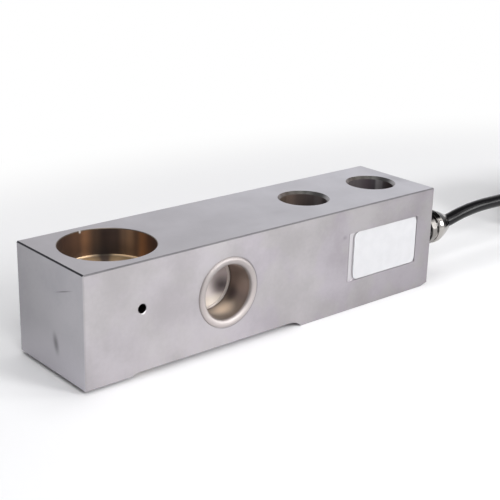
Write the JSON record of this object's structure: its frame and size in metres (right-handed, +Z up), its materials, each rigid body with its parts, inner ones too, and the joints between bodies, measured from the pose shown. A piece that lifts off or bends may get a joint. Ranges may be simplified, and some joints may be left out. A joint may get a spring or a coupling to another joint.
{
  "type": "shear beam load cell",
  "caption": "Square steel shear beam with a load hole at its free end, sealed sensing cups in its sides, bolt holes at the fixed end, a plate and a coiled cable from a gland.",
  "frame": {"origin": "midway between the two mounting holes, on the underside of the mounting pad", "axes": "+X along the beam from its free end to its cable end, +Y away from the face with the plate, +Z up, out of the load hole"},
  "size_m": [0.4723, 0.061, 0.0508],
  "materials": {
    "plated_steel": "satin nickel plate",
    "cup_steel": "turned, bright",
    "gauge_film": "film",
    "terminal_board": "matt",
    "lead_sleeve": "smooth",
    "circuit_board": "solder mask",
    "resistor_ceramic": "glazed",
    "plate_white": "smooth, blank",
    "gland_nickel": "bright nickel plate",
    "cage_plastic": "moulded",
    "seal_rubber": "matt",
    "cable_jacket": "smooth, soft sheen",
    "tie_plastic": "moulded",
    "core_red": "smooth",
    "core_black": "smooth",
    "core_green": "smooth",
    "core_white": "smooth",
    "tinned_copper": "tinned strands"
  },
  "bodies": {
    "root": {"beam_body": "plated_steel", "sealing_cup_front": "cup_steel", "sealing_cup_rear": "cup_steel", "shear_gauge_front": "gauge_film", "shear_gauge_rear": "gauge_film", "terminal_strip_front": "terminal_board", "terminal_strip_rear": "terminal_board", "gauge_lead_front": "lead_sleeve", "gauge_lead_rear": "lead_sleeve", "trim_board": "circuit_board", "trim_resistor_1": "resistor_ceramic", "trim_resistor_2": "resistor_ceramic", "trim_resistor_3": "resistor_ceramic", "trim_resistor_4": "resistor_ceramic", "core_bundle": "lead_sleeve", "name_plate": "plate_white", "gland_washer": "seal_rubber", "gland_body": "gland_nickel", "gland_cage": "cage_plastic", "gland_seal": "seal_rubber", "gland_nut": "gland_nickel", "cable_inner": "cable_jacket", "cable": "cable_jacket", "cable_coil": "cable_jacket", "cable_end": "cable_jacket", "coil_tie_1": "tie_plastic", "coil_tie_2": "tie_plastic", "core_red": "core_red", "core_black": "core_black", "core_green": "core_green", "core_white": "core_white", "shield_drain": "tinned_copper", "core_tips": "tinned_copper"}
  },
  "joints": []
}
